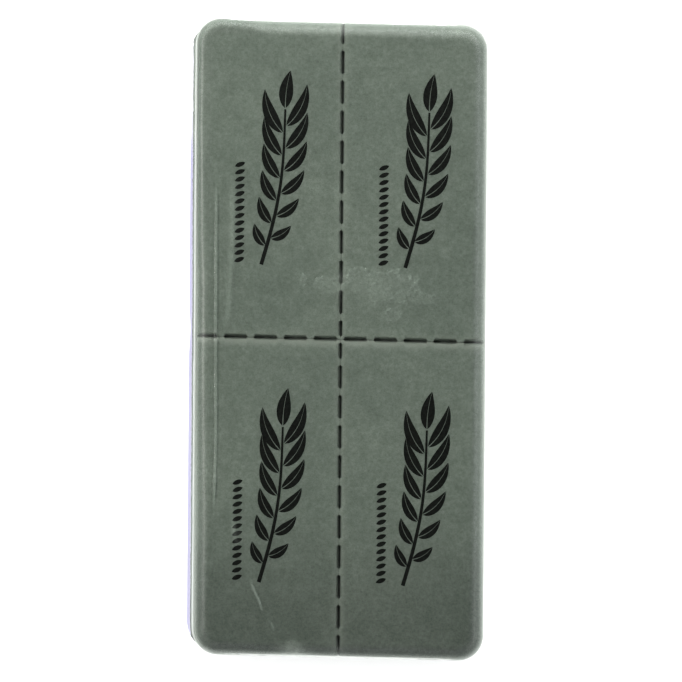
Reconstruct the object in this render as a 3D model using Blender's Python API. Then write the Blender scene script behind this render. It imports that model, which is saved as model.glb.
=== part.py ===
"""A block of four tear-off foam pads in a clear shrink sleeve.

Two lines of perforations cut one foam block into four equal pads. A thin film sleeve holds them together. It is
open at both ends, where its film curls over the block's rounded edges and leaves an oval opening.

+Z is up, out of the printed face, and +Y runs along the block. The origin is the middle of the underside.
"""

import math

import bmesh
import bpy

MM = 0.001

# The perforating rule: three parts cut to one part tie, repeated every quarter inch.
PITCH = 6.35 * MM
TIE_LENGTH = PITCH / 4
SLIT_WIDTH = 0.8 * MM
TIES_ACROSS = 4
TIES_ALONG = 10

# The foam block, before it is torn apart.
BLOCK_WIDTH = 9.5 * PITCH
BLOCK_LENGTH = 21 * PITCH
FOAM_THICKNESS = 13.9 * MM
CORNER_RADIUS = 5.0 * MM
EDGE_RADIUS = 2.0 * MM
LIP_RADIUS = 0.6 * MM
TIE_RECESS = 0.5 * MM

# The film. Its left wall stands off the foam, because the sleeve is a little wide for the block.
FILM_WALL = 0.25 * MM
FILM_GAP = 0.3 * MM
FILM_SLACK = 0.9 * MM
TEAR_GAP = 0.3 * MM
END_OPENING_WIDTH = 46.0 * MM
END_OPENING_HEIGHT = 7.5 * MM

FILM_OFFSET = FILM_WALL + FILM_GAP
FILM_HALF_WIDTH = BLOCK_WIDTH / 2 + FILM_SLACK / 2 + FILM_OFFSET
FILM_HALF_LENGTH = BLOCK_LENGTH / 2 + FILM_OFFSET
FILM_HEIGHT = FOAM_THICKNESS + 2 * FILM_OFFSET
SLEEVE_HALF_LENGTH = FILM_HALF_LENGTH - CORNER_RADIUS - FILM_OFFSET
BLOCK_CENTRE_X = FILM_SLACK / 2

CORNER_STEPS = 8
EDGE_STEPS = 6
ARC_STEPS = 12
CUTTER_REACH = 20.0 * MM

FOAM_COLOUR = (0.155, 0.185, 0.150, 1.0)
FILM_COLOUR = (0.900, 0.905, 0.930, 1.0)


def clear_scene():
    for obj in list(bpy.data.objects):
        bpy.data.objects.remove(obj, do_unlink=True)


def make_material(name, colour, roughness, alpha=1.0):
    material = bpy.data.materials.new(name)
    material.use_nodes = True
    shader = material.node_tree.nodes["Principled BSDF"]
    shader.inputs["Base Color"].default_value = colour
    shader.inputs["Roughness"].default_value = roughness
    shader.inputs["Metallic"].default_value = 0.0
    shader.inputs["Alpha"].default_value = alpha
    return material


def add_object(name, mesh, material=None):
    obj = bpy.data.objects.new(name, mesh)
    bpy.context.scene.collection.objects.link(obj)
    if material:
        mesh.materials.append(material)
        mesh.shade_smooth()
        mesh.set_sharp_from_angle(angle=math.radians(35))
    return obj


def add_cutter(name, mesh):
    cutter = add_object(name, mesh)
    cutter.hide_render = True
    cutter.display_type = "WIRE"
    return cutter


def mesh_from_rings(name, rings):
    """A closed solid through a stack of rings with equal point counts, each ring a list of (x, y, z)."""
    shape = bmesh.new()
    stack = [[shape.verts.new(point) for point in ring] for ring in rings]
    for lower, upper in zip(stack, stack[1:]):
        for i in range(len(lower)):
            j = (i + 1) % len(lower)
            shape.faces.new((lower[i], lower[j], upper[j], upper[i]))
    shape.faces.new(stack[0][::-1])
    shape.faces.new(stack[-1])
    bmesh.ops.recalc_face_normals(shape, faces=shape.faces)
    mesh = bpy.data.meshes.new(name)
    shape.to_mesh(mesh)
    shape.free()
    return mesh


def mesh_from_boxes(name, boxes):
    """Separate closed boxes in one mesh, each given by its lowest and highest corner."""
    shape = bmesh.new()
    for low, high in boxes:
        made = bmesh.ops.create_cube(shape, size=1.0)
        for vert in made["verts"]:
            vert.co = [low[k] if vert.co[k] < 0 else high[k] for k in range(3)]
    bmesh.ops.recalc_face_normals(shape, faces=shape.faces)
    mesh = bpy.data.meshes.new(name)
    shape.to_mesh(mesh)
    shape.free()
    return mesh


def edge_levels(bottom, top, radius):
    """(height, distance to the nearer face) of each ring of a block whose top and bottom edges are rounded."""
    drops = [radius * (1 - math.cos(math.pi / 2 * k / EDGE_STEPS)) for k in range(EDGE_STEPS + 1)]
    lower = [(bottom + drop, drop) for drop in drops]
    upper = [(top - drop, drop) for drop in reversed(drops)]
    return lower + upper


def round_inset(depth, radius):
    """How far an edge rounded to radius has drawn in, at this depth below the face."""
    if depth >= radius:
        return 0.0
    return radius - math.sqrt(radius**2 - (radius - depth) ** 2)


def corner_arc(centre_x, centre_y, radius, start):
    turns = [start + math.pi / 2 * k / CORNER_STEPS for k in range(CORNER_STEPS + 1)]
    return [(centre_x + radius * math.cos(a), centre_y + radius * math.sin(a)) for a in turns]


def rounded_block(name, half_x, half_y, bottom, top, corner_radius, edge_radius):
    """A slab about x = y = 0 with round corners in plan and rounded top and bottom edges."""
    rings = []
    for height, depth in edge_levels(bottom, top, edge_radius):
        radius = corner_radius - round_inset(depth, edge_radius)
        x = half_x - corner_radius
        y = half_y - corner_radius
        outline = []
        for quarter, (side_x, side_y) in enumerate(((1, 1), (-1, 1), (-1, -1), (1, -1))):
            outline += corner_arc(side_x * x, side_y * y, radius, quarter * math.pi / 2)
        rings.append([(px, py, height) for px, py in outline])
    return mesh_from_rings(name, rings)


def pad_outline(outer_inset, tear_inset):
    """One pad seen from above, with the crossing of the perforations at (0, 0) and the block's corner at +X +Y."""
    tear = SLIT_WIDTH / 2 + tear_inset
    width = BLOCK_WIDTH / 2
    length = BLOCK_LENGTH / 2
    arc = corner_arc(width - CORNER_RADIUS, length - CORNER_RADIUS, CORNER_RADIUS - outer_inset, 0.0)
    return [(tear, tear), (width - outer_inset, tear), *arc, (tear, length - outer_inset)]


def tie_boxes():
    """The half ties on one pad's two torn edges, as (u, v) boxes that reach into the pad."""
    near = TEAR_GAP / 2
    far = SLIT_WIDTH / 2 + LIP_RADIUS
    half = TIE_LENGTH / 2
    boxes = [((near, near), (half, half))]
    for k in range(1, TIES_ACROSS + 1):
        middle = k * PITCH
        boxes.append(((middle - half, near), (middle + half, far)))
    for k in range(TIES_ALONG):
        middle = (k + 0.75) * PITCH
        boxes.append(((near, middle - half), (far, middle + half)))
    return boxes


def place(u, v, side_x, side_y):
    """A point of the pad outline, turned to the pad's own quarter of the block."""
    return BLOCK_CENTRE_X + side_x * u, side_y * v


def make_pad(name, side_x, side_y, material):
    bottom = FILM_OFFSET
    top = FILM_OFFSET + FOAM_THICKNESS
    rings = []
    for height, depth in edge_levels(bottom, top, EDGE_RADIUS):
        outline = pad_outline(round_inset(depth, EDGE_RADIUS), round_inset(depth, LIP_RADIUS))
        rings.append([(*place(u, v, side_x, side_y), height) for u, v in outline])
    pad = add_object(name, mesh_from_rings(name, rings), material)

    boxes = []
    for first, second in tie_boxes():
        corners = [place(*first, side_x, side_y), place(*second, side_x, side_y)]
        low = [min(c[k] for c in corners) for k in range(2)]
        high = [max(c[k] for c in corners) for k in range(2)]
        boxes.append(((*low, bottom + TIE_RECESS), (*high, top - TIE_RECESS)))
    ties = add_cutter(name + "_ties", mesh_from_boxes(name + "_ties", boxes))
    join = pad.modifiers.new("ties", "BOOLEAN")
    join.operation = "UNION"
    join.object = ties
    return pad


def film_solid(name, inset):
    """The sleeve's outer shape drawn in by inset, solid all through."""
    return rounded_block(
        name,
        FILM_HALF_WIDTH - inset,
        FILM_HALF_LENGTH - inset,
        inset,
        FILM_HEIGHT - inset,
        CORNER_RADIUS + FILM_OFFSET - inset,
        EDGE_RADIUS + FILM_OFFSET - inset,
    )


def end_opening(name):
    """A bar with round ends along Y, the shape of the opening that the shrunk film leaves at each end."""
    radius = END_OPENING_HEIGHT / 2
    reach_x = END_OPENING_WIDTH / 2 - radius
    middle_z = FILM_HEIGHT / 2
    outline = []
    for side, start in ((1, -math.pi / 2), (-1, math.pi / 2)):
        for k in range(ARC_STEPS + 1):
            angle = start + math.pi * k / ARC_STEPS
            x = side * reach_x + radius * math.cos(angle)
            outline.append((x, middle_z + radius * math.sin(angle)))
    reach_y = FILM_HALF_LENGTH + CUTTER_REACH
    return mesh_from_rings(name, [[(x, y, z) for x, z in outline] for y in (-reach_y, reach_y)])


def span_box(name, low_y, high_y):
    """A box wider and taller than the film, between two heights along Y."""
    x = FILM_HALF_WIDTH + CUTTER_REACH
    low = (-x, low_y, -CUTTER_REACH)
    high = (x, high_y, FILM_HEIGHT + CUTTER_REACH)
    return mesh_from_boxes(name, [(low, high)])


def cut(obj, operation, other):
    modifier = obj.modifiers.new(operation.lower(), "BOOLEAN")
    modifier.operation = operation
    modifier.object = other


def make_film(material):
    hollow = add_cutter("film_hollow", film_solid("film_hollow", FILM_WALL))
    opening = add_cutter("film_end_opening", end_opening("film_end_opening"))
    start = SLEEVE_HALF_LENGTH + TEAR_GAP
    end = FILM_HALF_LENGTH + CUTTER_REACH
    spans = {
        "film_sleeve": (-SLEEVE_HALF_LENGTH, SLEEVE_HALF_LENGTH),
        "film_end_lip_upper": (start, end),
        "film_end_lip_lower": (-end, -start),
    }
    for name, (low_y, high_y) in spans.items():
        piece = add_object(name, film_solid(name, 0.0), material)
        cut(piece, "DIFFERENCE", hollow)
        cut(piece, "INTERSECT", add_cutter(name + "_span", span_box(name + "_span", low_y, high_y)))
        if name != "film_sleeve":
            cut(piece, "DIFFERENCE", opening)


def make_foam(material):
    for row, side_y in (("upper", 1), ("lower", -1)):
        for column, side_x in (("left", -1), ("right", 1)):
            make_pad(f"foam_pad_{row}_{column}", side_x, side_y, material)


def main():
    clear_scene()
    make_foam(make_material("foam", FOAM_COLOUR, 0.85))
    make_film(make_material("film", FILM_COLOUR, 0.12, alpha=0.15))


main()
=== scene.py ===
"""Looks of the perforated foam brick.

It has four foam pads, a mark printed on each of them, and a shrink film round all four.
"""

import math

import bpy
import numpy as np
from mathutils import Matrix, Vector, noise


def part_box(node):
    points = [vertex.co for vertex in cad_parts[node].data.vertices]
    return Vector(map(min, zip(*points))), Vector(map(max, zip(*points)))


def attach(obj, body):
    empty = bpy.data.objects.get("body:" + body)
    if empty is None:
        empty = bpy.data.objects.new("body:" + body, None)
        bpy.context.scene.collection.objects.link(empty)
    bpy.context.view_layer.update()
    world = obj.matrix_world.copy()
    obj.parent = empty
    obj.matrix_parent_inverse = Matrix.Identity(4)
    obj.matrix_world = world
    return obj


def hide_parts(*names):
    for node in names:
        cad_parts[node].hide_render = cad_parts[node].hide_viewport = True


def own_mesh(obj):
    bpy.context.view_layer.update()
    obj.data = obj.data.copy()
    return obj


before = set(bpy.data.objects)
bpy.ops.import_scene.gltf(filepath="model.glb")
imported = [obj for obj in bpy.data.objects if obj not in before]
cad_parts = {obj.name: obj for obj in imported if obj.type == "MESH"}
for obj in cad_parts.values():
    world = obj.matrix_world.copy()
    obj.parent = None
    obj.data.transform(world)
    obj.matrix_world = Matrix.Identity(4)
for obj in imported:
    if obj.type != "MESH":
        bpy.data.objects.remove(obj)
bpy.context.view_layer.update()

MM = 0.001

# ---------------------------------------------------------------- sizes, from the frame

pad_low, pad_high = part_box("foam_pad_upper_right")
BLOCK_X = (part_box("foam_pad_upper_left")[1].x + pad_low.x) / 2
CUT_WIDTH = pad_high.x - BLOCK_X

# The foam bulges a little past its cut size.
FACE_SWELL = 0.2 * MM
SIDE_SWELL = 0.35 * MM
END_SWELL = 0.6 * MM
PAD_WIDTH = CUT_WIDTH + SIDE_SWELL
PAD_LENGTH = pad_high.y + END_SWELL
FOAM_TOP = pad_high.z + FACE_SWELL
FOAM_BOTTOM = pad_low.z - FACE_SWELL

# The film has drawn the block slightly out of square: how far y falls for each unit of x.
SKEW = 0.0166

# The perforations: a quarter-inch pitch, a quarter of it left as a tie.
PITCHES_ACROSS = 4.75
PITCH = CUT_WIDTH / PITCHES_ACROSS
TIE = PITCH / 4
TIES_ACROSS = [k * PITCH for k in range(5)]
TIES_ALONG = [0.0] + [(k + 0.75) * PITCH for k in range(10)]
SLIT_ALONG = 0.37 * MM
SLIT_UPPER = 0.60 * MM
SLIT_LOWER = 0.30 * MM
SEAM_SWAY = 0.13 * MM
TOUCH = 0.01 * MM
TIE_ROUND = 0.22 * MM
SLIT_LIP = 0.2 * MM
WARP_REACH = 2.5 * MM

# The perforating rule drags the near pads' edges down further than the far pads' edges: (depth, width).
GROOVE_ALONG = (0.26 * MM, 1.0 * MM)
GROOVE_UPPER = (0.18 * MM, 0.6 * MM)
GROOVE_LOWER = (0.48 * MM, 1.7 * MM)

# The block's round corners in plan, and its rounded edges. The left edge is the sharpest.
CORNER = 5.2 * MM
EDGE = 3.0 * MM
LEFT_EDGE_UPPER = 1.7 * MM
LEFT_EDGE_LOWER = 3.2 * MM
LEFT_EDGE_WANDER = 0.3 * MM

# The film lies close over the foam, a little looser on the left.
FILM_LIFT = 0.2 * MM
FILM_TOP = FOAM_TOP + FILM_LIFT
FILM_BOTTOM = 0.05 * MM
FILM_GAP = 0.35 * MM
LEFT_SLACK = 0.25 * MM
FILM_LEFT = BLOCK_X - PAD_WIDTH - FILM_GAP - LEFT_SLACK
FILM_RIGHT = BLOCK_X + PAD_WIDTH + FILM_GAP
FILM_END = PAD_LENGTH + FILM_GAP
FILM_CORNER = 5.5 * MM
FILM_X = (FILM_LEFT + FILM_RIGHT) / 2
FILM_HALF = (FILM_RIGHT - FILM_LEFT) / 2
MIDDLE_Z = (FILM_TOP + FILM_BOTTOM) / 2


# ---------------------------------------------------------------- stage: floor, lights, camera


def look_at(obj, target):
    obj.rotation_mode = "QUATERNION"
    obj.rotation_quaternion = (Vector(target) - obj.location).to_track_quat("-Z", "Y")


FLOOR_SIZE = 6.0
FLOOR_DROP = 0.02 * MM


def make_floor():
    """A pale floor that glows a little, so that the block's own shadow doesn't grey it."""
    bpy.ops.mesh.primitive_plane_add(size=FLOOR_SIZE, location=(0, 0, -FLOOR_DROP))
    floor = bpy.context.object
    floor.name = "floor"
    material = bpy.data.materials.new("pale_floor")
    material.use_nodes = True
    shader = material.node_tree.nodes["Principled BSDF"]
    shader.inputs["Base Color"].default_value = (0.85, 0.85, 0.85, 1)
    shader.inputs["Roughness"].default_value = 0.9
    shader.inputs["Emission Color"].default_value = (1, 1, 1, 1)
    shader.inputs["Emission Strength"].default_value = 0.56
    floor.data.materials.append(material)


def make_world():
    """A dark zenith, a bright ring half way down the sky, a dim band under it, and a glow on the horizon."""
    world = bpy.data.worlds.new("studio")
    bpy.context.scene.world = world
    world.use_nodes = True
    tree = world.node_tree
    background = tree.nodes["Background"]
    background.inputs["Color"].default_value = (0.97, 0.98, 1.0, 1)
    direction = node(tree, "ShaderNodeTexCoord").outputs["Generated"]
    axes = node(tree, "ShaderNodeSeparateXYZ", None, {"Vector": direction}).outputs

    # 0 straight up and 1 on the horizon.
    off_zenith = maths(tree, "SUBTRACT", 1.0, maths(tree, "ABSOLUTE", axes["Z"]))
    rise = smooth_range(tree, off_zenith, (0.02, 0.30), (0.03, 1.58))
    fall = smooth_range(tree, off_zenith, (0.36, 0.54), (1.0, 0.28))
    glow = smooth_range(tree, off_zenith, (0.80, 0.93), (0.0, 0.75))

    # The ring is brighter towards +X and +Y.
    forward = maths(tree, "MULTIPLY_ADD", axes["Y"], 0.50, 1.0)
    sideways = maths(tree, "MULTIPLY_ADD", axes["X"], 0.40, forward)
    uneven = maths(tree, "MAXIMUM", sideways, 0.25)
    ring = maths(tree, "MULTIPLY", maths(tree, "MULTIPLY", rise, fall), uneven)
    tree.links.new(maths(tree, "ADD", ring, glow), background.inputs["Strength"])


def add_softbox(name, location, size, power, colour):
    data = bpy.data.lights.new(name, "AREA")
    data.shape = "RECTANGLE"
    data.size, data.size_y = size
    data.energy = power
    data.color = colour
    light = bpy.data.objects.new(name, data)
    bpy.context.scene.collection.objects.link(light)
    light.location = location
    look_at(light, (0, 0, 0))


def make_lights():
    """A large soft key beyond the upper end, and a small strip whose reflection runs down the left folds."""
    add_softbox("key_from_above", (0.0, 0.42, 0.44), (1.0, 0.6), 3.5, (1.0, 0.99, 0.96))
    add_softbox("strip_left", (-0.40, 0.075, 0.60), (0.28, 0.10), 1.2, (1.0, 0.98, 0.92))


def make_camera():
    """A long lens looking straight down on the printed face."""
    data = bpy.data.cameras.new("camera")
    data.lens = 200.0
    data.sensor_width = 36.0
    data.clip_start = 0.01
    data.clip_end = 20.0
    camera = bpy.data.objects.new("camera", data)
    bpy.context.scene.collection.objects.link(camera)
    camera.location = (0.55 * MM, -0.3 * MM, 0.817)
    camera.rotation_euler = (0.0, 0.0, math.radians(0.45))
    bpy.context.scene.camera = camera
    bpy.context.scene.view_settings.view_transform = "Standard"


# ---------------------------------------------------------------- grids and shapes


def grid_lines(start, end, step, marks):
    """Positions from start to end through every mark, with no two neighbours more than step apart."""
    nearest = 0.03 * MM
    stops = [start]
    for mark in sorted(marks):
        if mark - stops[-1] > nearest and end - mark > nearest:
            stops.append(mark)
    stops.append(end)
    lines = [start]
    for low, high in zip(stops, stops[1:]):
        count = max(1, math.ceil((high - low) / step - 1e-6))
        lines += list(np.linspace(low, high, count + 1)[1:])
    return np.array(lines)


def edge_steps():
    """Distances in from an outer side, close together where an edge rounds over."""
    return [d * MM for d in (0.02, 0.06, 0.13, 0.24, 0.4, 0.6, 0.85, 1.15, 1.5, 1.9, 2.35, 2.85, 3.4, 4.0)]


def edge_radius(x, y):
    """The radius of the block's top and bottom edges.

    The left edge is sharp at the upper end and softer towards the lower end.
    """
    down = smooth((58 * MM - y) / (100 * MM))
    left_radius = LEFT_EDGE_UPPER + (LEFT_EDGE_LOWER - LEFT_EDGE_UPPER) * down
    left_radius = left_radius + LEFT_EDGE_WANDER * fine_noise(y, y, 30 * MM, 2.9)
    near_left = smooth((BLOCK_X - 14 * MM - x) / (10 * MM))
    return EDGE + (left_radius - EDGE) * near_left


def quarter_drop(distance, radius):
    """How far below its face a rounded edge is, at this distance in from its outer side."""
    d = np.clip(distance, 0, radius)
    return radius - np.sqrt(np.maximum(radius**2 - (radius - d) ** 2, 0))


def smooth(t):
    t = np.clip(t, 0, 1)
    return t * t * (3 - 2 * t)


def corner_map(x, y, half_x, half_y, radius):
    """Turns the square corner of a grid into a round one. Only points in the corner's own square move."""
    a = np.clip((x - (half_x - radius)) / radius, 0, 1)
    b = np.clip((y - (half_y - radius)) / radius, 0, 1)
    inside = (a > 0) & (b > 0)
    mapped_x = half_x - radius + radius * a * np.sqrt(1 - b**2 / 2)
    mapped_y = half_y - radius + radius * b * np.sqrt(1 - a**2 / 2)
    return np.where(inside, mapped_x, x), np.where(inside, mapped_y, y)


def depth_inside(x, y, half_x, half_y, radius):
    """Distance in from the outline of a rectangle with a round corner at +x +y."""
    qx = x - (half_x - radius)
    qy = y - (half_y - radius)
    outside = np.hypot(np.maximum(qx, 0), np.maximum(qy, 0))
    return radius - outside - np.minimum(np.maximum(qx, qy), 0)


def perimeter(nx, ny):
    """The grid's outline as (i, j) pairs, once round from (0, 0) towards +i."""
    low = [(i, 0) for i in range(nx - 1)]
    right = [(nx - 1, j) for j in range(ny - 1)]
    high = [(i, ny - 1) for i in range(nx - 1, 0, -1)]
    left = [(0, j) for j in range(ny - 1, 0, -1)]
    return low + right + high + left


def fine_noise(x, y, scale, seed=0.0):
    """Smooth noise from -1 to 1 over the plane."""
    flat = [noise.noise(Vector((a / scale, b / scale, seed))) for a, b in zip(x.ravel(), y.ravel())]
    return np.array(flat).reshape(x.shape)


def add_mesh(name, points, faces, material, attributes=None):
    mesh = bpy.data.meshes.new(name)
    mesh.from_pydata([(x, y - SKEW * (x - BLOCK_X), z) for x, y, z in points], [], faces)
    mesh.update()
    for key, values in (attributes or {}).items():
        layer = mesh.attributes.new(key, "FLOAT", "POINT")
        layer.data.foreach_set("value", np.asarray(values, np.float32))
    mesh.materials.append(material)
    mesh.shade_smooth()
    obj = bpy.data.objects.new(name, mesh)
    bpy.context.scene.collection.objects.link(obj)
    return obj


def slab_faces(nx, ny, rings):
    """Faces of a closed slab: a top grid, a bottom grid and the wall rings between their outlines."""
    top = np.arange(nx * ny).reshape(nx, ny)
    bottom = top + nx * ny
    loop = perimeter(nx, ny)
    stack = [np.array([top[i, j] for i, j in loop])]
    start = 2 * nx * ny
    for k in range(rings):
        stack.append(start + k * len(loop) + np.arange(len(loop)))
    stack.append(np.array([bottom[i, j] for i, j in loop]))
    faces = []
    for i in range(nx - 1):
        for j in range(ny - 1):
            faces.append((top[i, j], top[i + 1, j], top[i + 1, j + 1], top[i, j + 1]))
            faces.append((bottom[i, j], bottom[i, j + 1], bottom[i + 1, j + 1], bottom[i + 1, j]))
    wall = []
    for level, (upper, lower) in enumerate(zip(stack, stack[1:])):
        for n in range(len(loop)):
            m = (n + 1) % len(loop)
            wall.append((level, (upper[n], lower[n], lower[m], upper[m])))
    return faces, wall


# ---------------------------------------------------------------- materials


def new_material(name):
    material = bpy.data.materials.new(name)
    material.use_nodes = True
    tree = material.node_tree
    tree.nodes.clear()
    output = tree.nodes.new("ShaderNodeOutputMaterial")
    return material, tree, output


def node(tree, kind, settings=None, inputs=None):
    """A new node with its own settings and its inputs' constants, or links where a value is a socket."""
    made = tree.nodes.new(kind)
    for key, value in (settings or {}).items():
        setattr(made, key, value)
    for key, value in (inputs or {}).items():
        if isinstance(value, bpy.types.NodeSocket):
            tree.links.new(value, made.inputs[key])
        else:
            made.inputs[key].default_value = value
    return made


def noise_node(tree, coordinates, scale, detail=3.0, roughness=0.55):
    inputs = {"Vector": coordinates, "Scale": scale, "Detail": detail, "Roughness": roughness}
    return node(tree, "ShaderNodeTexNoise", None, inputs).outputs["Fac"]


def ramp(tree, factor, stops):
    made = node(tree, "ShaderNodeValToRGB", None, {"Fac": factor})
    elements = made.color_ramp.elements
    while len(elements) < len(stops):
        elements.new(0.5)
    for element, (position, colour) in zip(elements, stops):
        element.position = position
        element.color = (*colour, 1.0)
    return made.outputs["Color"]


def mix_colour(tree, kind, factor, first, second):
    made = node(tree, "ShaderNodeMix", {"data_type": "RGBA", "blend_type": kind})
    for index, value in ((0, factor), (6, first), (7, second)):
        if isinstance(value, bpy.types.NodeSocket):
            tree.links.new(value, made.inputs[index])
        else:
            made.inputs[index].default_value = value
    return made.outputs[2]


def maths(tree, operation, *values):
    made = node(tree, "ShaderNodeMath", {"operation": operation})
    for index, value in enumerate(values):
        if isinstance(value, bpy.types.NodeSocket):
            tree.links.new(value, made.inputs[index])
        else:
            made.inputs[index].default_value = value
    return made.outputs[0]


def smooth_range(tree, value, span, results):
    """The value eased from the first result to the second as it crosses the span."""
    limits = {"From Min": span[0], "From Max": span[1], "To Min": results[0], "To Max": results[1]}
    inputs = {"Value": value, **limits}
    return node(tree, "ShaderNodeMapRange", {"interpolation_type": "SMOOTHSTEP"}, inputs).outputs["Result"]


def attribute(tree, name):
    return node(tree, "ShaderNodeAttribute", {"attribute_name": name}).outputs["Fac"]


def foam_cells(tree, coordinates):
    """The foam's open cells: (how open the cell is at this point, a height for bump)."""
    cells = node(tree, "ShaderNodeTexVoronoi", {"feature": "F1"}, {"Vector": coordinates, "Scale": 2300.0})
    grain = noise_node(tree, coordinates, 5200.0, detail=2.0)
    height = maths(tree, "MULTIPLY_ADD", cells.outputs["Distance"], 0.8, grain)
    return cells.outputs["Distance"], height


def foam_material():
    material, tree, output = new_material("foam")
    place = node(tree, "ShaderNodeTexCoord").outputs["Object"]
    cells, height = foam_cells(tree, place)
    broad = noise_node(tree, place, 55.0, 4.0)
    broad = ramp(tree, broad, [(0.30, (0.189, 0.230, 0.193)), (0.70, (0.225, 0.268, 0.226))])
    blotches = noise_node(tree, place, 330.0, 3.0)
    patchy = ramp(tree, blotches, [(0.25, (0.90, 0.91, 0.90)), (0.75, (1.09, 1.09, 1.09))])
    grain = noise_node(tree, place, 1400.0, 3.0, 0.7)
    speckle = ramp(tree, grain, [(0.25, (0.76, 0.78, 0.76)), (0.75, (1.24, 1.22, 1.24))])
    # Painted shade: the foam is darker in the pits of its open cells.
    pores = ramp(tree, cells, [(0.05, (0.78, 0.78, 0.78)), (0.55, (1.06, 1.06, 1.06))])
    colour = mix_colour(tree, "MULTIPLY", 1.0, broad, speckle)
    colour = mix_colour(tree, "MULTIPLY", 1.0, colour, patchy)
    colour = mix_colour(tree, "MULTIPLY", 0.6, colour, pores)
    # Painted shade: the foam is made darker towards its lower end, where less light falls on it.
    along = node(tree, "ShaderNodeSeparateXYZ", None, {"Vector": place}).outputs["Y"]
    painted_shade_low = smooth_range(tree, along, (-62 * MM, -33 * MM), (0.77, 1.07))
    colour = mix_colour(tree, "MULTIPLY", 1.0, colour, painted_shade_low)
    # Paler beside the slits: crushed foam, and on the lower pads' lips along the cross line a painted
    # highlight.
    colour = mix_colour(tree, "MIX", attribute(tree, "rim"), colour, (0.42, 0.47, 0.41, 1))
    bump = node(tree, "ShaderNodeBump", None, {"Height": height, "Strength": 0.4, "Distance": 0.12 * MM})
    inputs = {
        "Base Color": colour,
        "Roughness": 0.9,
        "Normal": bump.outputs["Normal"],
        "Specular IOR Level": 0.25,
        "Sheen Weight": 0.10,
        "Sheen Roughness": 0.5,
    }
    shader = node(tree, "ShaderNodeBsdfPrincipled", None, inputs)
    tree.links.new(shader.outputs[0], output.inputs["Surface"])
    return material


def ink_material():
    material, tree, output = new_material("ink")
    place = node(tree, "ShaderNodeTexCoord").outputs["Object"]
    cells, height = foam_cells(tree, place)
    thin = noise_node(tree, place, 1500.0, 3.0, 0.7)
    colour = ramp(tree, thin, [(0.35, (0.003, 0.004, 0.003)), (0.80, (0.016, 0.020, 0.016))])
    pores = ramp(tree, cells, [(0.0, (0.03, 0.036, 0.03)), (0.22, (0, 0, 0))])
    colour = mix_colour(tree, "ADD", 0.3, colour, pores)
    bump = node(tree, "ShaderNodeBump", None, {"Height": height, "Strength": 0.3, "Distance": 0.1 * MM})
    inputs = {
        "Base Color": colour,
        "Roughness": 0.8,
        "Normal": bump.outputs["Normal"],
        "Specular IOR Level": 0.1,
    }
    shader = node(tree, "ShaderNodeBsdfPrincipled", None, inputs)
    tree.links.new(shader.outputs[0], output.inputs["Surface"])
    return material


def film_material():
    """Clear film: tinted where it is sealed, milky where it is hazy or seen at a slant, and glossy on top."""
    material, tree, output = new_material("shrink_film")
    place = node(tree, "ShaderNodeTexCoord").outputs["Object"]
    crinkle = attribute(tree, "crinkle")
    waves = noise_node(tree, place, 140.0, 3.0, 0.5)
    crinkles = noise_node(tree, place, 620.0, 3.0, 0.6)
    strength = maths(tree, "MULTIPLY_ADD", crinkle, 0.35, 0.05)
    soft = node(tree, "ShaderNodeBump", None, {"Height": waves, "Strength": 0.15, "Distance": 0.8 * MM})
    inputs = {
        "Height": crinkles,
        "Strength": strength,
        "Distance": 0.25 * MM,
        "Normal": soft.outputs["Normal"],
    }
    normal = node(tree, "ShaderNodeBump", None, inputs).outputs["Normal"]

    tint = mix_colour(tree, "MIX", attribute(tree, "seal"), (0.985, 0.987, 0.985, 1), (0.76, 0.745, 0.88, 1))
    clear = node(tree, "ShaderNodeBsdfTransparent", None, {"Color": tint})
    milk = node(tree, "ShaderNodeBsdfDiffuse", None, {"Color": (0.78, 0.88, 0.78, 1), "Roughness": 0.5})
    slant = node(tree, "ShaderNodeLayerWeight", None, {"Blend": 0.5}).outputs["Facing"]
    spots = noise_node(tree, place, 900.0, 3.0, 0.65)
    mottle = ramp(tree, spots, [(0.3, (0.35, 0.35, 0.35)), (0.7, (1.5, 1.5, 1.5))])
    cloud = maths(tree, "MULTIPLY", attribute(tree, "haze"), mottle)
    slight = maths(tree, "MULTIPLY", slant, 0.05)
    steep = maths(tree, "MULTIPLY_ADD", maths(tree, "POWER", slant, 2.0), 0.85, slight)
    share = maths(tree, "MULTIPLY_ADD", steep, attribute(tree, "drawn"), cloud)
    hazy = node(tree, "ShaderNodeMixShader", None, {"Fac": share})
    tree.links.new(clear.outputs[0], hazy.inputs[1])
    tree.links.new(milk.outputs[0], hazy.inputs[2])

    fresnel = node(tree, "ShaderNodeFresnel", None, {"IOR": 1.5, "Normal": normal}).outputs["Fac"]
    dull = maths(tree, "MULTIPLY_ADD", attribute(tree, "drawn"), 0.16, 0.16)
    inputs = {"Color": (1, 1, 1, 1), "Roughness": dull, "Normal": normal}
    gloss = node(tree, "ShaderNodeBsdfGlossy", None, inputs)
    mixed = node(tree, "ShaderNodeMixShader", None, {"Fac": fresnel})
    tree.links.new(hazy.outputs[0], mixed.inputs[1])
    tree.links.new(gloss.outputs[0], mixed.inputs[2])
    tree.links.new(mixed.outputs[0], output.inputs["Surface"])
    return material


# ---------------------------------------------------------------- foam pads


PAD_STEP = 1.1 * MM
SIDE_BULGE = 0.15 * MM
FACE_WAVE = 0.03 * MM

# How far down its wall each ring of a pad lies, from 0 at the top to 1.
WALL_LEVELS = (0.05, 0.12, 0.2, 0.3, 0.42, 0.58, 0.7, 0.8, 0.88, 0.95)

# A slit has closed by this share of the way in from either face.
SLIT_CLOSED = 0.19

# Paler foam beside a perforation: (how pale, how wide). Beside every slit it is crushed foam. On the lower
# pads along the cross line it is mostly a painted highlight, where the lip faces the light from the upper
# end.
RIM_ALONG = (0.28, 0.9 * MM)
RIM_UPPER = (0.2, 1.15 * MM)
RIM_LOWER_LIT = (0.75, 1.15 * MM)


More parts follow.
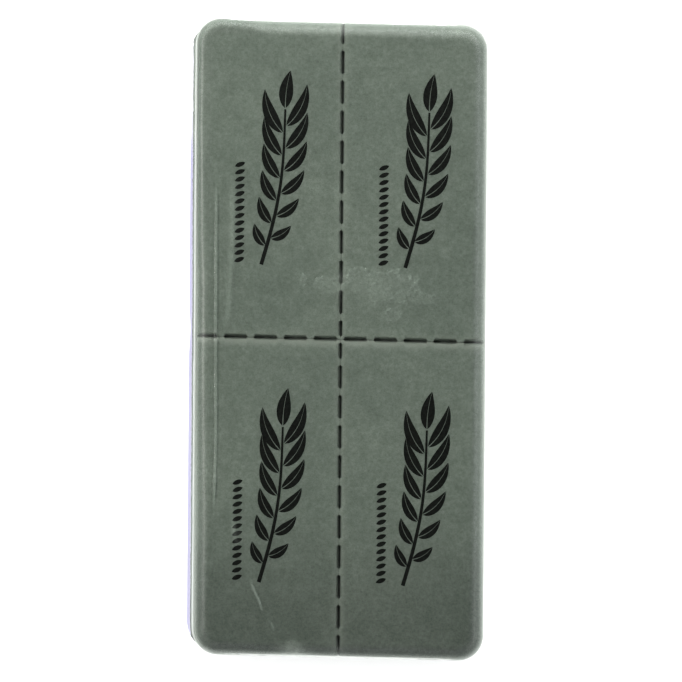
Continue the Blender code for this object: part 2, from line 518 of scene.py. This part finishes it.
def tie_share(position, ties):
    """1 where a tie joins two pads, 0 along a slit, with short smooth steps between them."""
    share = np.zeros_like(position)
    for middle in ties:
        away = np.abs(position - middle) - TIE / 2
        share = np.maximum(share, 1 - smooth(away / TIE_ROUND / 2 + 0.5))
    return share


def tie_marks(ties):
    steps = (-0.5, -0.17, 0.17, 0.5)
    edges = [middle + side * TIE / 2 for middle in ties for side in (-1, 1)]
    return [edge + 2 * TIE_ROUND * step for edge in edges for step in steps]


def groove_drop(distance, ties, depth, width):
    """The foam is pinched down towards a perforation, and its skin turns over each slit's lip."""
    pinch = depth * np.clip(1 - distance / width, 0, 1) ** 2
    return pinch + (1 - ties) * quarter_drop(distance, SLIT_LIP)


def foam_wave(x, y):
    """The slight waviness of the foam's sawn faces."""
    return FACE_WAVE * fine_noise(x, y, 14 * MM, 3.7)


def rim_share(distance, palest, width):
    """How pale the foam is at this distance from a slit: crushed foam, and on the lower pads' lips a painted
    highlight.
    """
    return palest * np.exp(-((distance / width) ** 2))


def pad_grid(size, ties):
    """Grid lines from a torn edge (0) to the outer side (size), closer together near both of them."""
    near = [n * MM for n in (0.05, 0.11, 0.2, 0.34, 0.55, 0.85, 1.25, 1.7, 2.5)]
    return grid_lines(0, size, PAD_STEP, near + tie_marks(ties) + [size - d for d in edge_steps()])


def pad_wall(top, bottom, side_x, side_y, gap_u, gap_v):
    """The rings of a pad's wall. Outer sides bulge, and torn sides close up behind the slits' lips."""
    nu, nv = gap_u.shape
    loop = perimeter(nu, nv)
    high = np.array([top[i, j] for i, j in loop])
    low = np.array([bottom[i, j] for i, j in loop])
    free = np.array([i > 0 and j > 0 for i, j in loop])
    outward = np.array([[side_x * (i == nu - 1), side_y * (j == nv - 1)] for i, j in loop], float)
    shut_u = np.array([side_x * (i == 0) * gap_u[i, j] for i, j in loop])
    shut_v = np.array([side_y * (j == 0) * gap_v[i, j] for i, j in loop])
    shut = np.stack([shut_u, shut_v], -1)
    torn = np.array([[i == 0, j == 0] for i, j in loop], float)
    rings = []
    for level in WALL_LEVELS:
        ring = high + (low - high) * level
        ring[:, :2] += (SIDE_BULGE * math.sin(math.pi * level) * free)[:, None] * outward
        ring[:, :2] -= shut * smooth(min(level, 1 - level) / SLIT_CLOSED)
        ring[:, :2] += SEAM_SWAY * math.sin(2 * math.pi * level) * torn
        rings.append(ring)
    return rings


def make_pad(name, side_x, side_y, body, node_name, material):
    """One pad, with u and v measured from the crossing of the perforations and turned to its quarter."""
    upper = side_y > 0
    us = pad_grid(PAD_WIDTH, TIES_ACROSS)
    vs = pad_grid(PAD_LENGTH, TIES_ALONG)
    u, v = np.meshgrid(us, vs, indexing="ij")
    tie_u = tie_share(v, TIES_ALONG)
    tie_v = tie_share(u, TIES_ACROSS)
    gap_u = SLIT_ALONG * (1 - tie_u)
    gap_v = (SLIT_UPPER if upper else SLIT_LOWER) * (1 - tie_v)
    pu = u + (TOUCH + gap_u) * np.clip(1 - u / WARP_REACH, 0, 1)
    pv = v + (TOUCH + gap_v) * np.clip(1 - v / WARP_REACH, 0, 1)
    pu, pv = corner_map(pu, pv, PAD_WIDTH, PAD_LENGTH, CORNER)
    x = BLOCK_X + side_x * pu
    y = side_y * pv

    depth = depth_inside(pu, pv, PAD_WIDTH, PAD_LENGTH, CORNER)
    radius = edge_radius(x, y)
    outer = quarter_drop(depth, radius)
    in_u = pu - TOUCH - gap_u
    in_v = pv - TOUCH - gap_v
    groove_u = groove_drop(in_u, tie_u, *GROOVE_ALONG)
    groove_v = groove_drop(in_v, tie_v, *(GROOVE_UPPER if upper else GROOVE_LOWER))
    drop = outer + np.maximum(groove_u, groove_v) * (1 - outer / radius)
    top = np.stack([x, y, FOAM_TOP - drop + foam_wave(x, y)], -1)
    bottom = np.stack([x, y, FOAM_BOTTOM + drop], -1)
    # Below the cross line the pale band is mostly a painted highlight on the lip lit from the upper end.
    rim_v = rim_share(in_v, *(RIM_UPPER if upper else RIM_LOWER_LIT))
    rim = np.maximum(rim_share(in_u, *RIM_ALONG), rim_v)

    rings = pad_wall(top, bottom, side_x, side_y, gap_u, gap_v)
    points = np.concatenate([top.reshape(-1, 3), bottom.reshape(-1, 3), *rings])
    faces, wall = slab_faces(len(us), len(vs), len(rings))
    faces += [face for _, face in wall]
    if side_x * side_y < 0:
        faces = [face[::-1] for face in faces]
    rims = np.concatenate([rim.ravel(), rim.ravel(), np.zeros(len(rings) * len(rings[0]))])
    pad = add_mesh(name, points, faces, material, {"rim": rims})
    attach(pad, body)
    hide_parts(node_name)
    return pad


# ---------------------------------------------------------------- printed marks


INK_DEPTH = 0.04 * MM
LEAF_PAIRS = 6
LEAF_STEPS = 14
SEEDS = 14
SEED_STEPS = 8
SEED_PITCH = 1.55
STEM_STEPS = 24

# Half the stem's width in millimetres, at its foot and at its tip.
STEM_HALF_FOOT = 0.42
STEM_HALF_TIP = 0.22


def strip_solid(points, faces, left, right, origin):
    """Adds a thin closed solid between two lines of (x, y) points in millimetres, lying on the foam."""
    start = len(points)
    for a, b in zip(left, right):
        for px, py in (a, b):
            x = origin[0] + px * MM
            y = origin[1] + py * MM
            z = FOAM_TOP + float(foam_wave(np.array([x]), np.array([y]))[0])
            points.append((x, y, z + INK_DEPTH))
            points.append((x, y, z - INK_DEPTH / 4))
    for k in range(len(left) - 1):
        a, b = start + 4 * k, start + 4 * (k + 1)
        faces += [(a, a + 2, b + 2, b), (a + 1, b + 1, b + 3, a + 3)]
        faces += [(a, b, b + 1, a + 1), (a + 2, a + 3, b + 3, b + 2)]
    end = start + 4 * (len(left) - 1)
    faces += [(start, start + 1, start + 3, start + 2), (end, end + 2, end + 3, end + 1)]


def stem_point(t):
    """The sprig's stem from its foot (t = 0) to its tip (t = 1), in millimetres from the mark's middle."""
    return np.array([-2.6 + 5.2 * t + 1.3 * math.sin(3.4 * t), -20.5 + 33.0 * t])


def stem_turn(t):
    ahead = stem_point(t + 0.01) - stem_point(t - 0.01)
    return math.atan2(ahead[1], ahead[0])


def leaf(points, faces, origin, foot, angle, length, width, bend):
    """A leaf in two halves, with its midrib left unprinted. Bend turns its tip, in radians."""
    spine = []
    for k in range(LEAF_STEPS + 1):
        t = k / LEAF_STEPS
        turn = angle + bend * (t - 0.3)
        spine.append((t, foot + length * t * np.array([math.cos(turn), math.sin(turn)]), turn + bend * t))
    for side in (1, -1):
        inner, outer = [], []
        for t, at, turn in spine:
            across = side * np.array([-math.sin(turn), math.cos(turn)])
            swell = width / 2 * math.sin(math.pi * t**0.8) ** 0.9 if 0 < t < 1 else 0.0
            rib = 0.07 * (1 - t) + 0.02
            inner.append(at + across * rib)
            outer.append(at + across * (rib + swell + 0.03))
        pair = (inner, outer) if side < 0 else (outer, inner)
        strip_solid(points, faces, *pair, origin)


def seed(points, faces, origin, foot, angle, length, width):
    """A small solid pointed oval."""
    forward = np.array([math.cos(angle), math.sin(angle)])
    across = np.array([-forward[1], forward[0]])
    left, right = [], []
    for k in range(SEED_STEPS + 1):
        t = k / SEED_STEPS
        half = 0.02 + width / 2 * math.sin(math.pi * t) ** 0.7 if 0 < t < 1 else 0.02
        left.append(foot + forward * length * t + across * half)
        right.append(foot + forward * length * t - across * half)
    strip_solid(points, faces, left, right, origin)


def stem(points, faces, origin):
    """The sprig's stem, thinner towards its tip."""
    left, right = [], []
    for k in range(STEM_STEPS + 1):
        t = k / STEM_STEPS
        turn = stem_turn(t)
        half = STEM_HALF_FOOT + (STEM_HALF_TIP - STEM_HALF_FOOT) * t
        across = np.array([-math.sin(turn), math.cos(turn)])
        left.append(stem_point(t) + across * half)
        right.append(stem_point(t) - across * half)
    strip_solid(points, faces, left, right, origin)


def make_print(name, side_x, side_y, body, material):
    """A generic sprig with a row of seeds beside it, standing where each pad is printed."""
    cell_x = BLOCK_X + (-PAD_WIDTH if side_x < 0 else 0.0)
    cell_y = -PAD_LENGTH if side_y < 0 else 0.0
    origin = (cell_x + 0.53 * PAD_WIDTH, cell_y + 0.535 * PAD_LENGTH)
    points, faces = [], []
    stem(points, faces, origin)
    for k in range(LEAF_PAIRS):
        for side in (1, -1):
            at = 0.17 + 0.145 * k - 0.045 * (side < 0)
            length = 5.0 + 0.95 * k
            foot = stem_point(at) + STEM_HALF_FOOT * np.array([side, 0.0])
            angle = stem_turn(at) - side * math.radians(58 - 3.5 * k)
            leaf(points, faces, origin, foot, angle, length, 1.9 + 0.14 * k, 0.4 * side)
    leaf(points, faces, origin, stem_point(1.0) + np.array([0.0, 0.25]), stem_turn(1.0), 8.0, 2.8, -0.15)
    for k in range(SEEDS):
        foot = np.array([-8.3, -20.0 + SEED_PITCH * k])
        seed(points, faces, origin, foot, math.radians(22), 2.3, 0.95)
    mark = add_mesh(name, points, faces, material)
    mark.data.set_sharp_from_angle(angle=math.radians(40))
    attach(mark, body)
    return mark


# ---------------------------------------------------------------- shrink film


OPENING_HALF_WIDTH = 24.0 * MM
OPENING_HALF_HEIGHT = 4.4 * MM
LIP_START = FILM_END - EDGE - 0.6 * MM
FIN_WIDTH = 1.25 * MM
FILM_STEP = 1.4 * MM

# The film's edges are a little rounder than the foam's. It wanders over the face, hangs slack on the walls,
# and is gathered round each end's mouth.
EXTRA_ROUND = 0.15 * MM
FACE_WANDER = 0.05 * MM
WALL_SLACK = 0.10 * MM
MOUTH_GATHER = 0.32 * MM
MOUTH_HAZE = 0.16
WALL_CRINKLE = 0.5

# The stretched band along the edges is milky at a slant: (where it begins to fade, over what distance).
DRAWN_BAND = (2.6 * MM, 1.8 * MM)

# The wall between its top round and mid height: (share of the way down, how far the left fin has come out).
WALL_STEPS = ((0.35, 0.02), (0.65, 0.07), (0.84, 0.24), (0.94, 0.62), (0.985, 0.92), (1.0, 1.0))

# Fine folds down the film's left side, and a crease low on the left, in millimetres:
# ((x, y) points along the fold), half width, height, haze.
FOLDS = (
    (((-26.1, 34.0), (-26.0, 0.0), (-25.8, -24.0), (-26.2, -38.0)), 0.32, 0.10, 0.02),
    (((-22.6, 36.0), (-22.9, 18.0), (-23.7, 0.0)), 0.95, 0.14, 0.035),
    (((-22.2, -38.5), (-22.0, -40.5), (-21.0, -44.0)), 0.55, 0.12, 0.06),
    (((-18.7, -50.8), (-17.9, -52.6), (-16.4, -55.6), (-15.4, -58.9)), 0.32, 0.13, 0.07),
    (((-14.2, -59.6), (-13.5, -61.0), (-12.6, -62.6)), 0.45, 0.08, 0.03),
)

# Where the film is gathered over the lower end's edge, in millimetres, and the pleat's height and haze.
PLEAT = (-9.2, -67.3)
PLEAT_HEIGHT = 0.4 * MM
PLEAT_HAZE = 0.2

# Where the film has stuck to the foam and let go again, in millimetres: middle x, y, half sizes, haze.
PATCHES = (
    (-1.2, 11.5, 4.6, 1.7, 0.042),
    (4.5, 12.6, 3.6, 3.0, 0.040),
    (11.3, 11.2, 6.0, 3.6, 0.044),
    (17.6, 9.2, 3.4, 1.6, 0.034),
    (-7.6, 12.3, 0.9, 1.5, 0.040),
    (11.6, 5.4, 1.7, 1.7, 0.036),
)


def fold_ridge(x, y, route, half_width):
    """A fold's share of its full height, from 0 to 1, along a line through the route's points."""
    ys = np.array([p[1] for p in route[::-1]]) * MM
    xs = np.array([p[0] for p in route[::-1]]) * MM
    middle = np.interp(y, ys, xs)
    fade = min(6 * MM, (ys[-1] - ys[0]) / 3)
    along = smooth((y - ys[0]) / fade) * smooth((ys[-1] - y) / fade)
    return along * np.exp(-(((x - middle) / (half_width * MM)) ** 2))


def patches(x, y):
    """(haze, how crinkled) of the film over its stuck patches. Their outlines are ragged."""
    haze = np.zeros_like(x)
    crinkled = np.zeros_like(x)
    ragged = 0.35 * fine_noise(x, y, 2.2 * MM, 4.4) + 0.25 * fine_noise(x, y, 0.9 * MM, 6.1)
    for px, py, reach_x, reach_y, most in PATCHES:
        away = np.hypot((x - px * MM) / (reach_x * MM), (y - py * MM) / (reach_y * MM)) + ragged
        inside = 1 - smooth((away - 0.62) / 0.55)
        edge = np.exp(-(((away - 0.85) / 0.16) ** 2))
        edge *= 0.35 + 0.65 * smooth((y - py * MM) / (0.6 * MM))
        haze = np.maximum(haze, most * (0.85 * inside + 0.6 * edge))
        crinkled = np.maximum(crinkled, 0.45 * inside + 0.9 * edge)
    return haze, np.clip(crinkled, 0, 1)


def crinkle_height(x, y, crinkled):
    """Sharp little ridges inside the crinkled patches."""
    coarse = fine_noise(x, y, 1.5 * MM, 1.3)
    fine = fine_noise(x, y, 0.7 * MM, 8.1)
    ridged = (1 - np.abs(coarse) * 2.2).clip(0, 1) ** 3 + 0.4 * (1 - np.abs(fine) * 2.2).clip(0, 1) ** 3
    return 0.10 * MM * crinkled * ridged


def pleat_share(x, y):
    """The film gathered into one small tent over the lower end's edge."""
    px, py = PLEAT
    along = np.clip((y - py * MM) / (3.8 * MM), 0, 1)
    spread = (4.2 - 3.7 * along) * MM
    return (1 - along) ** 1.1 * np.exp(-(((x - px * MM) / spread) ** 2))


def close_lines(low, high, step):
    """Grid lines between two places in millimetres, for a fold or a patch that needs a finer grid."""
    return list(np.arange(low, high, step) * MM)


def film_grid():
    """The grid's lines in x and in y, closer together over edges, folds, patches and the openings' tips."""
    x_marks = [FILM_LEFT + d for d in edge_steps()] + [FILM_RIGHT - d for d in edge_steps()]
    x_marks += [s * OPENING_HALF_WIDTH * k for s in (-1, 1) for k in (1.0, 0.995, 0.98, 0.95, 0.9)]
    x_marks += [BLOCK_X]
    x_marks += close_lines(-27.2, -21.0, 0.15) + close_lines(-9.0, 21.0, 0.27) + close_lines(-20.0, -9.0, 0.2)
    y_marks = [s * (FILM_END - d) for d in edge_steps() for s in (-1, 1)] + [LIP_START, -LIP_START]
    y_marks += close_lines(3.4, 17.0, 0.27) + close_lines(-67, -50, 0.4)
    xs = grid_lines(FILM_LEFT, FILM_RIGHT, FILM_STEP, x_marks)
    ys = grid_lines(-FILM_END, FILM_END, FILM_STEP, y_marks)
    return xs, ys


def fin_share(y):
    """How far the left side's fin stands out along the block, from 0 to 1. It is pinched at the middle."""
    ends = smooth((FILM_END - np.abs(y)) / (7 * MM))
    pinch = 1 - 0.22 * np.exp(-(((y - 1.5 * MM) / (3.5 * MM)) ** 2))
    return ends * pinch


def film_relief(x, y):
    """(lift, haze, how crinkled) of the film's top face, from its patches, folds and pleat."""
    haze, crinkled = patches(x, y)
    lift = crinkle_height(x, y, crinkled)
    for route, half_width, height, cloud in FOLDS:
        ridge = fold_ridge(x, y, route, half_width)
        lift = lift + height * MM * ridge
        haze = haze + cloud * ridge
        crinkled = np.maximum(crinkled, 0.3 * ridge)
    pleat = pleat_share(x, y)
    return lift + PLEAT_HEIGHT * pleat, haze + PLEAT_HAZE * pleat, crinkled


def outward_from(edge_x, edge_y):
    """The directions that point straight out of the film at places on its outline."""
    centre_x = np.clip(edge_x, FILM_LEFT + FILM_CORNER, FILM_RIGHT - FILM_CORNER)
    centre_y = np.clip(edge_y, FILM_CORNER - FILM_END, FILM_END - FILM_CORNER)
    out = np.stack([edge_x - centre_x, edge_y - centre_y], -1)
    return out / np.linalg.norm(out, axis=1)[:, None]


def film_wall(rim, floor_rim):
    """The film's wall from its top rim to its bottom rim: its rings of points, and each ring's looks.

    The wall comes out to a fin at mid height on the left side, and leaves an oval mouth at each end.
    """
    edge_x, edge_y = rim[:, 0], rim[:, 1]
    out = outward_from(edge_x, edge_y)
    at_end = np.abs(out[:, 1]) > 0.999
    reach = np.abs(edge_x - FILM_X) / OPENING_HALF_WIDTH
    mouth = np.where(at_end, np.sqrt(np.clip(1 - reach**2, 0, 1)), 0.0) * OPENING_HALF_HEIGHT
    fin = fin_share(edge_y) * smooth((-out[:, 0] - 0.2) / 0.7)
    ripple = fine_noise(edge_x, edge_y, 1.6 * MM, 5.5) + 0.6 * fine_noise(edge_x, edge_y, 0.7 * MM, 2.5)
    gather = MOUTH_GATHER * ripple * at_end * (mouth > 0)
    slack = WALL_SLACK * fine_noise(edge_x, edge_y, 5.0 * MM, 9.3)
    tinted = fin * (1 - 0.8 * smooth((edge_y - 38 * MM) / (8 * MM)))

    rings, seals, hems, drawn = [], [], [], []
    for start, half, steps in ((rim[:, 2], 1, WALL_STEPS), (floor_rim[:, 2], -1, WALL_STEPS[::-1])):
        for share, come_out in steps:
            ring = np.stack([edge_x, edge_y, start + (MIDDLE_Z + half * mouth - start) * share], -1)
            sway = slack * math.sin(math.pi * share) + gather * share
            ring[:, :2] += (FIN_WIDTH * fin * come_out + sway)[:, None] * out
            rings.append(ring)
            seals.append(tinted * smooth((come_out - 0.15) / 0.45))
            hems.append(MOUTH_HAZE * smooth((share - 0.7) / 0.3) * (mouth > 0))
            root = smooth((share - 0.5) / 0.2) * (1 - smooth((share - 0.8) / 0.16))
            drawn.append(np.maximum(1 - smooth(share / 0.5), fin * root))
    return rings, seals, hems, drawn


def make_film(material):
    """The whole film. Its looks are haze, crinkle, seal (the fin's tint) and drawn (how milky at a slant)."""
    xs, ys = film_grid()
    gx, gy = np.meshgrid(xs, ys, indexing="ij")
    side_x, side_y = np.sign(gx - FILM_X), np.sign(gy)
    px, py = corner_map(np.abs(gx - FILM_X), np.abs(gy), FILM_HALF, FILM_END, FILM_CORNER)
    depth = depth_inside(px, py, FILM_HALF, FILM_END, FILM_CORNER)
    x, y = FILM_X + side_x * px, side_y * py
    drop = quarter_drop(depth, edge_radius(x, y) + EXTRA_ROUND)
    lift, haze, crinkled = film_relief(x, y)
    drawn = 1 - smooth((depth - DRAWN_BAND[0]) / DRAWN_BAND[1])
    wander = FACE_WANDER * fine_noise(x, y, 9 * MM, 7.7)
    inner = smooth(depth / (1.2 * MM))
    top = np.stack([x, y, FILM_TOP - drop + (lift + wander) * inner], -1)
    bottom = np.stack([x, y, FILM_BOTTOM + drop], -1)

    loop = perimeter(len(xs), len(ys))
    rim = np.array([top[i, j] for i, j in loop])
    floor_rim = np.array([bottom[i, j] for i, j in loop])
    rings, seals, hems, wall_drawn = film_wall(rim, floor_rim)
    points = np.concatenate([top.reshape(-1, 3), bottom.reshape(-1, 3), *rings])
    faces, wall = slab_faces(len(xs), len(ys), len(rings))
    faces += [face for level, face in wall if level != len(WALL_STEPS)]

    flat = np.zeros(haze.size)
    wall_crinkle = np.full(len(loop) * len(rings), WALL_CRINKLE)
    looks = {
        "crinkle": np.concatenate([crinkled.ravel(), flat, wall_crinkle]),
        "haze": np.concatenate([haze.ravel(), flat, *hems]),
        "drawn": np.concatenate([drawn.ravel(), drawn.ravel(), *wall_drawn]),
        "seal": np.concatenate([flat, flat, *seals]),
    }
    return split_film(points, faces, looks, material)


def film_part(centre):
    """Which film piece a face belongs to, from its middle: the sleeve, or a part of one end's lip."""
    x, y, z = centre
    if abs(y) < LIP_START:
        return "sleeve"
    end = "upper" if y > 0 else "lower"
    column = "left" if x < BLOCK_X else "right"
    if abs(x - FILM_X) > OPENING_HALF_WIDTH and FILM_BOTTOM + EDGE < z < FILM_TOP - EDGE:
        return f"{end}_{column}_side"
    return f"{end}_{column}_{'top' if z > MIDDLE_Z else 'base'}"


def split_film(points, faces, looks, material):
    """Parts the film where it has to open, keeping the whole film's smooth normals on every piece."""
    whole = add_mesh("film_whole", points, faces, material)
    normals = np.zeros(len(points) * 3, np.float32)
    whole.data.vertex_normals.foreach_get("vector", normals)
    normals = normals.reshape(-1, 3)
    bpy.data.objects.remove(whole)
    groups = {}
    for face in faces:
        groups.setdefault(film_part(points[list(face)].mean(0)), []).append(face)
    made = {}
    for part, members in sorted(groups.items()):
        used = np.unique(np.array(members))
        place = {old: new for new, old in enumerate(used)}
        local = [tuple(place[i] for i in face) for face in members]
        attributes = {key: values[used] for key, values in looks.items()}
        name = "shrink_film" if part == "sleeve" else "film_lip_" + part
        piece = add_mesh(name, points[used], local, material, attributes)
        piece.data.normals_split_custom_set_from_vertices([tuple(n) for n in normals[used]])
        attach(piece, "film")
        made[part] = piece
    return made


def open_lips(pieces):
    """Hides the sleeve and end lips of the CAD model, and gives each lip piece a mesh of its own."""
    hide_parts("film_sleeve")
    for key, piece in pieces.items():
        if key == "sleeve":
            continue
        end, column, part = key.split("_")
        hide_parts(f"film_end_lip_{end}")
        if part == "side":
            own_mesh(piece)
        else:
            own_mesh(piece)


# ---------------------------------------------------------------- the whole object


def make_object():
    foam, ink, film = foam_material(), ink_material(), film_material()
    for row, side_y in (("upper", 1), ("lower", -1)):
        for column, side_x in (("left", -1), ("right", 1)):
            quarter = f"{row}_{column}"
            make_pad("pad_" + quarter, side_x, side_y, "pad_" + quarter, "foam_pad_" + quarter, foam)
            make_print("print_" + quarter, side_x, side_y, "pad_" + quarter, ink)
    open_lips(make_film(film))


make_camera()
make_floor()
make_world()
make_lights()
make_object()
